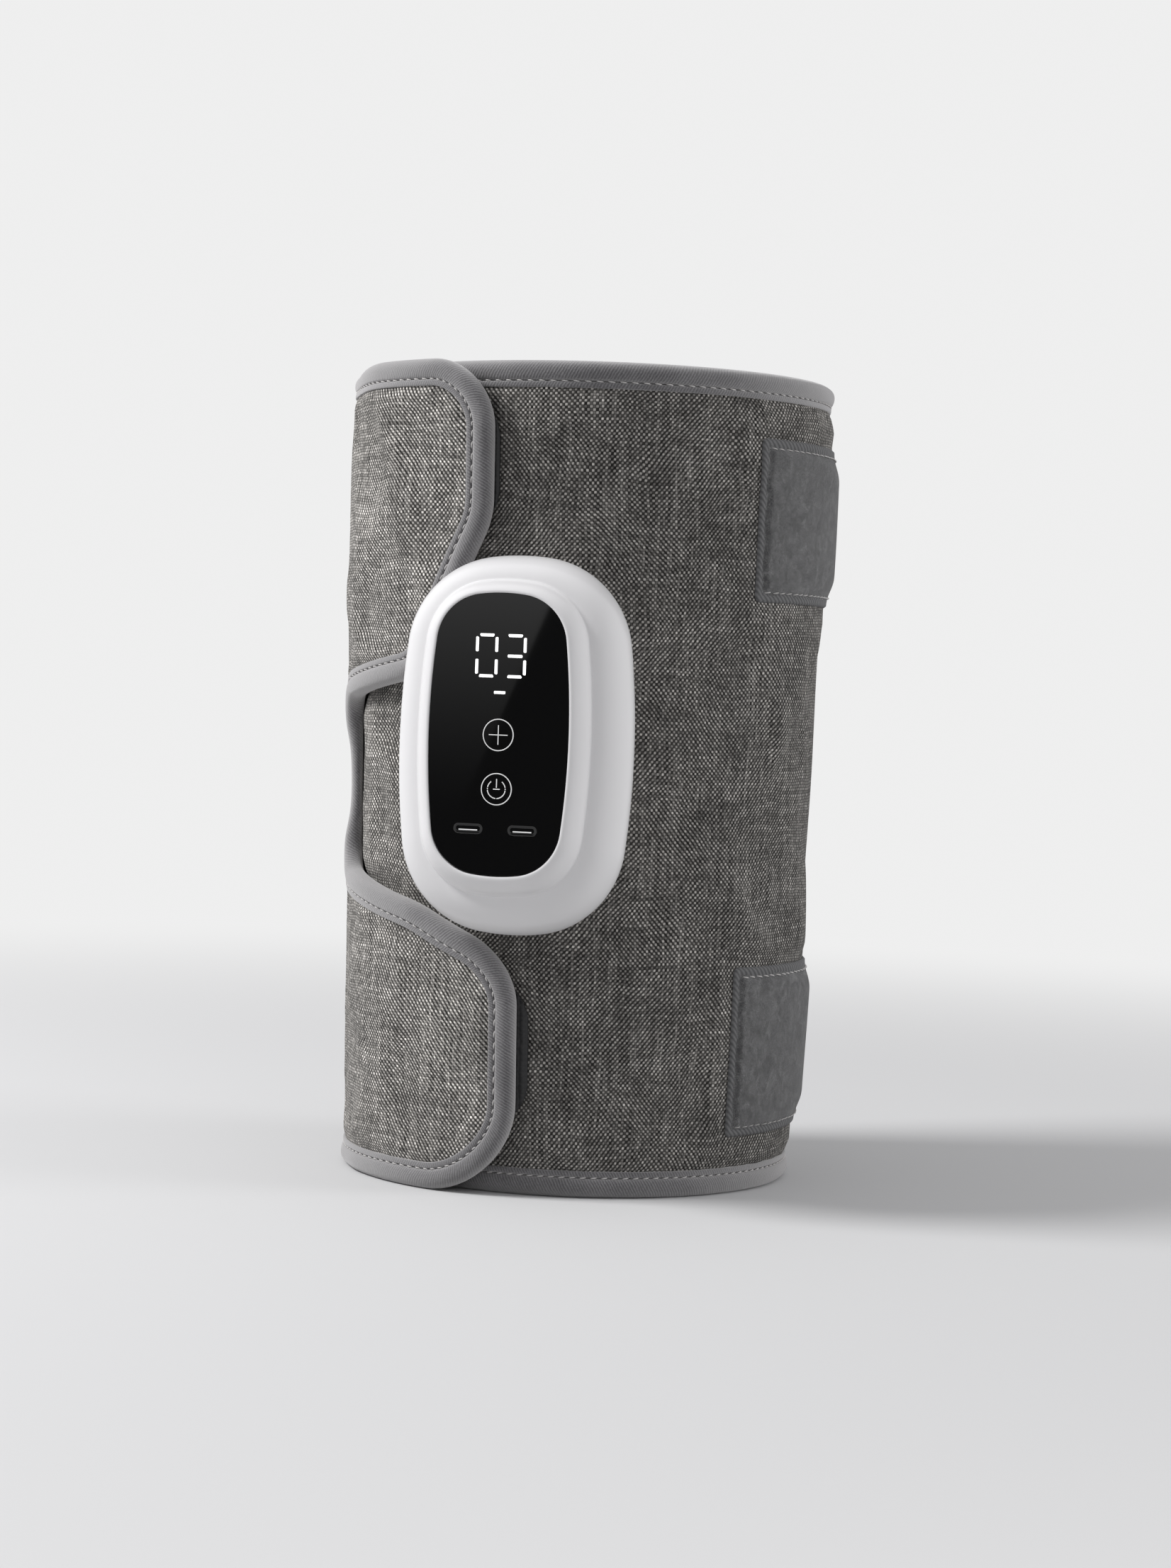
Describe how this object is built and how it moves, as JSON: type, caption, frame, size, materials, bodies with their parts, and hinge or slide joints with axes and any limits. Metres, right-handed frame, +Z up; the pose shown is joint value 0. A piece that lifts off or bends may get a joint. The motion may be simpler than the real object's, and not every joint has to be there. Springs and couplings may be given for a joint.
{
  "type": "air compression leg massager",
  "caption": "Padded grey calf wrap that closes with hook and loop tabs, with a white oval pump controller that has a black key panel on its front.",
  "frame": {"origin": "on the axis of the leg passage at the level of the bottom rim", "axes": "+Z up along the leg, -Y out of the controller's front, +X to the loop patches' side"},
  "size_m": [0.1481, 0.1671, 0.24],
  "materials": {
    "weave_fabric": "grey melange plain weave",
    "binding_velour": "soft grey velour tape with a sewn edge",
    "loop_pile": "fuzzy loop pile",
    "hook_tape": "dark hook tape",
    "lining_knit": "dark brushed knit",
    "foam": "thin foam",
    "airbag_film": "welded film",
    "heater_film": "heating film",
    "white_shell": "satin moulded plastic",
    "black_panel": "high gloss",
    "key_black": "high gloss with printed rings",
    "display_black": "smoked display body",
    "lit_white": "lit bars",
    "board_green": "solder mask",
    "switch_metal": "stamped metal",
    "screw_steel": "zinc plated",
    "battery_wrap": "shrink wrap",
    "motor_steel": "plated steel",
    "pump_plastic": "moulded plastic",
    "hose_rubber": "silicone",
    "plate_plastic": "moulded plastic"
  },
  "bodies": {
    "front": {"front_cover": "weave_fabric", "front_padding": "foam", "front_airbag": "airbag_film", "front_lining": "lining_knit", "front_top_binding": "binding_velour", "front_bottom_binding": "binding_velour", "front_end_binding": "binding_velour", "upper_loop_patch": "loop_pile", "lower_loop_patch": "loop_pile", "backing_plate": "plate_plastic", "plate_screws": "screw_steel", "air_nozzle": "pump_plastic", "rear_shell": "white_shell", "front_shell": "white_shell", "control_panel": "black_panel", "digit_display": "display_black", "display_bars": "lit_white", "main_board": "board_green", "tact_switches": "switch_metal", "board_screws": "screw_steel", "case_screws": "screw_steel", "battery": "battery_wrap", "pump_motor": "motor_steel", "pump_head": "pump_plastic", "pump_diaphragm": "hose_rubber", "pump_cap": "pump_plastic", "pump_hose": "hose_rubber", "air_manifold": "pump_plastic", "valve_coil": "pump_plastic", "usb_socket": "motor_steel", "charge_board": "board_green"},
    "back": {"back_cover": "weave_fabric", "back_padding": "foam", "back_airbag": "airbag_film", "heating_pad": "heater_film", "back_lining": "lining_knit", "back_top_binding": "binding_velour", "back_bottom_binding": "binding_velour"},
    "closure": {"closure_cover": "weave_fabric", "closure_lining": "lining_knit", "closure_top_binding": "binding_velour", "closure_bottom_binding": "binding_velour", "recess_binding": "binding_velour"},
    "upper_flap": {"upper_tab": "weave_fabric", "upper_tab_binding": "binding_velour", "upper_hook_patch": "hook_tape"},
    "lower_flap": {"lower_tab": "weave_fabric", "lower_tab_binding": "binding_velour", "lower_hook_patch": "hook_tape"},
    "plus_button": {"plus_key": "key_black"},
    "power_button": {"power_key": "key_black"},
    "heat_button": {"heat_key": "key_black"},
    "mode_button": {"mode_key": "key_black"},
    "crank": {"pump_crank": "motor_steel"},
    "plunger": {"valve_plunger": "motor_steel"}
  },
  "joints": [
    {"name": "back_fold", "type": "hinge", "parent": "front", "child": "back", "pos_m": [0.05098, 0.03983, 0], "axis": [-0.0189, -0.0147, -0.9997], "range_deg": [0, 50]},
    {"name": "closure_fold", "type": "hinge", "parent": "back", "child": "closure", "pos_m": [-0.05344, 0.04348, 0], "axis": [0.0178, -0.016, -0.9997], "range_deg": [0, 80]},
    {"name": "upper_tab_peel", "type": "hinge", "parent": "closure", "child": "upper_flap", "pos_m": [-0.05502, -0.04678, 0], "axis": [0.0183, 0.0154, -0.9997], "range_deg": [0, 100]},
    {"name": "lower_tab_peel", "type": "hinge", "parent": "closure", "child": "lower_flap", "pos_m": [-0.05502, -0.04678, 0], "axis": [0.0183, 0.0154, -0.9997], "range_deg": [0, 100]},
    {"name": "plus_press", "type": "slide", "parent": "front", "child": "plus_button", "axis": [0, 1, 0], "range_m": [0, 0.0005], "stiffness_N_per_m": 300, "springref_m": -0.001},
    {"name": "power_press", "type": "slide", "parent": "front", "child": "power_button", "axis": [0, 1, 0], "range_m": [0, 0.0005], "stiffness_N_per_m": 300, "springref_m": -0.001},
    {"name": "heat_press", "type": "slide", "parent": "front", "child": "heat_button", "axis": [0, 1, 0], "range_m": [0, 0.0005], "stiffness_N_per_m": 300, "springref_m": -0.001},
    {"name": "mode_press", "type": "slide", "parent": "front", "child": "mode_button", "axis": [0, 1, 0], "range_m": [0, 0.0005], "stiffness_N_per_m": 300, "springref_m": -0.001},
    {"name": "crank_spin", "type": "hinge", "parent": "front", "child": "crank", "pos_m": [0, -0.07871, 0.105], "axis": [0, 0, 1], "continuous": true},
    {"name": "valve_slide", "type": "slide", "parent": "front", "child": "plunger", "axis": [0, 0, 1], "range_m": [0, 0.0012], "stiffness_N_per_m": 200, "springref_m": -0.001}
  ],
  "couplings": [
    {"joint": "closure_fold", "follows": "back_fold", "ratio": 1.6}
  ]
}
